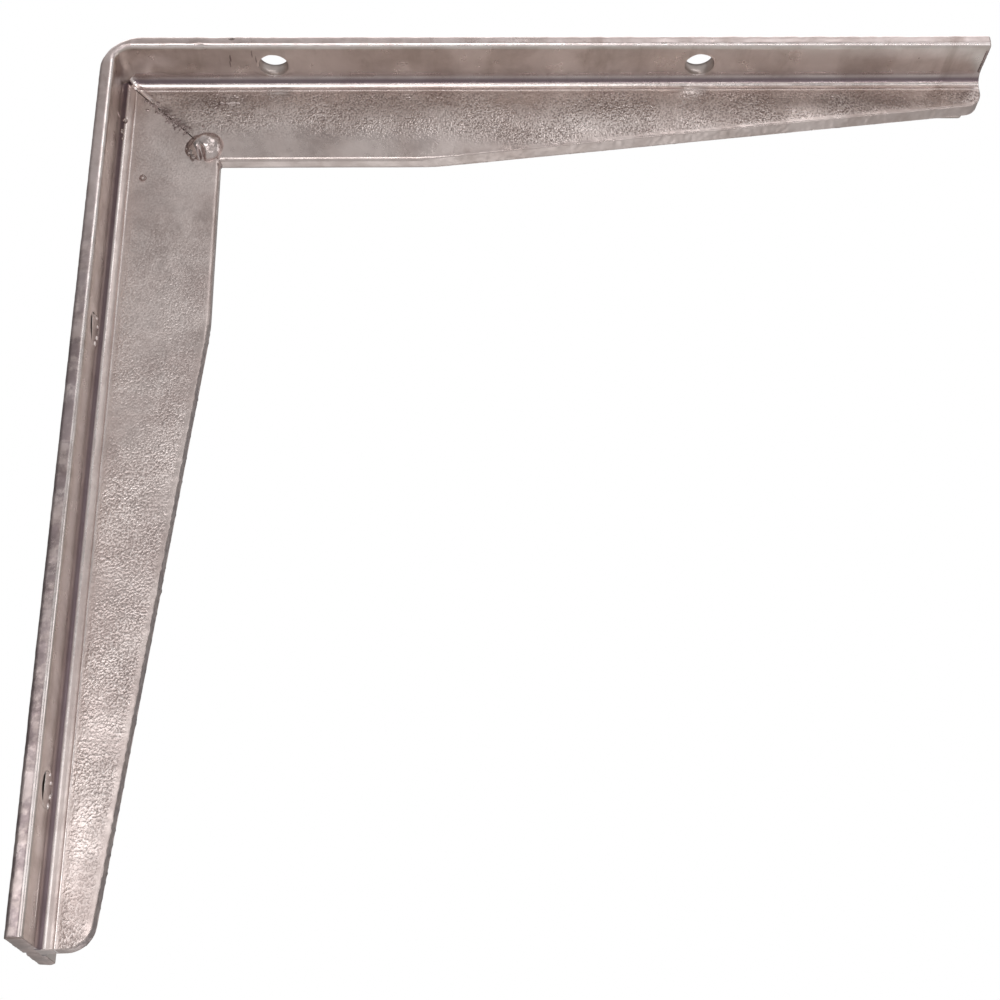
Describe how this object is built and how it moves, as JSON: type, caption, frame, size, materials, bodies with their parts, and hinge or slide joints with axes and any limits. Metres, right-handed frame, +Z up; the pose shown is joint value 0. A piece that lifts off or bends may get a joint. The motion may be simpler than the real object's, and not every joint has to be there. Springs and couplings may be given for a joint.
{
  "type": "shelf bracket",
  "caption": "Right-angled wall bracket bent from rolled T-bar, with tapered webs, a welded corner notch and punched screw holes along both arms.",
  "frame": {"origin": "on the wall face of the flange, on the middle plane of the web, at the middle of the wall arm's four holes", "axes": "+X out from the wall along the shelf arm, +Z up, Y across the bar"},
  "size_m": [0.31, 0.04, 0.305],
  "materials": {
    "galvanised_bar": "hot-dip galvanised rolled steel, pebbly on the webs and smooth under the flange",
    "galvanised_weld": "hot-dip galvanised weld nugget, smooth and lumpy"
  },
  "bodies": {
    "root": {"bent_t_bar": "galvanised_bar", "corner_weld": "galvanised_weld"}
  },
  "joints": []
}
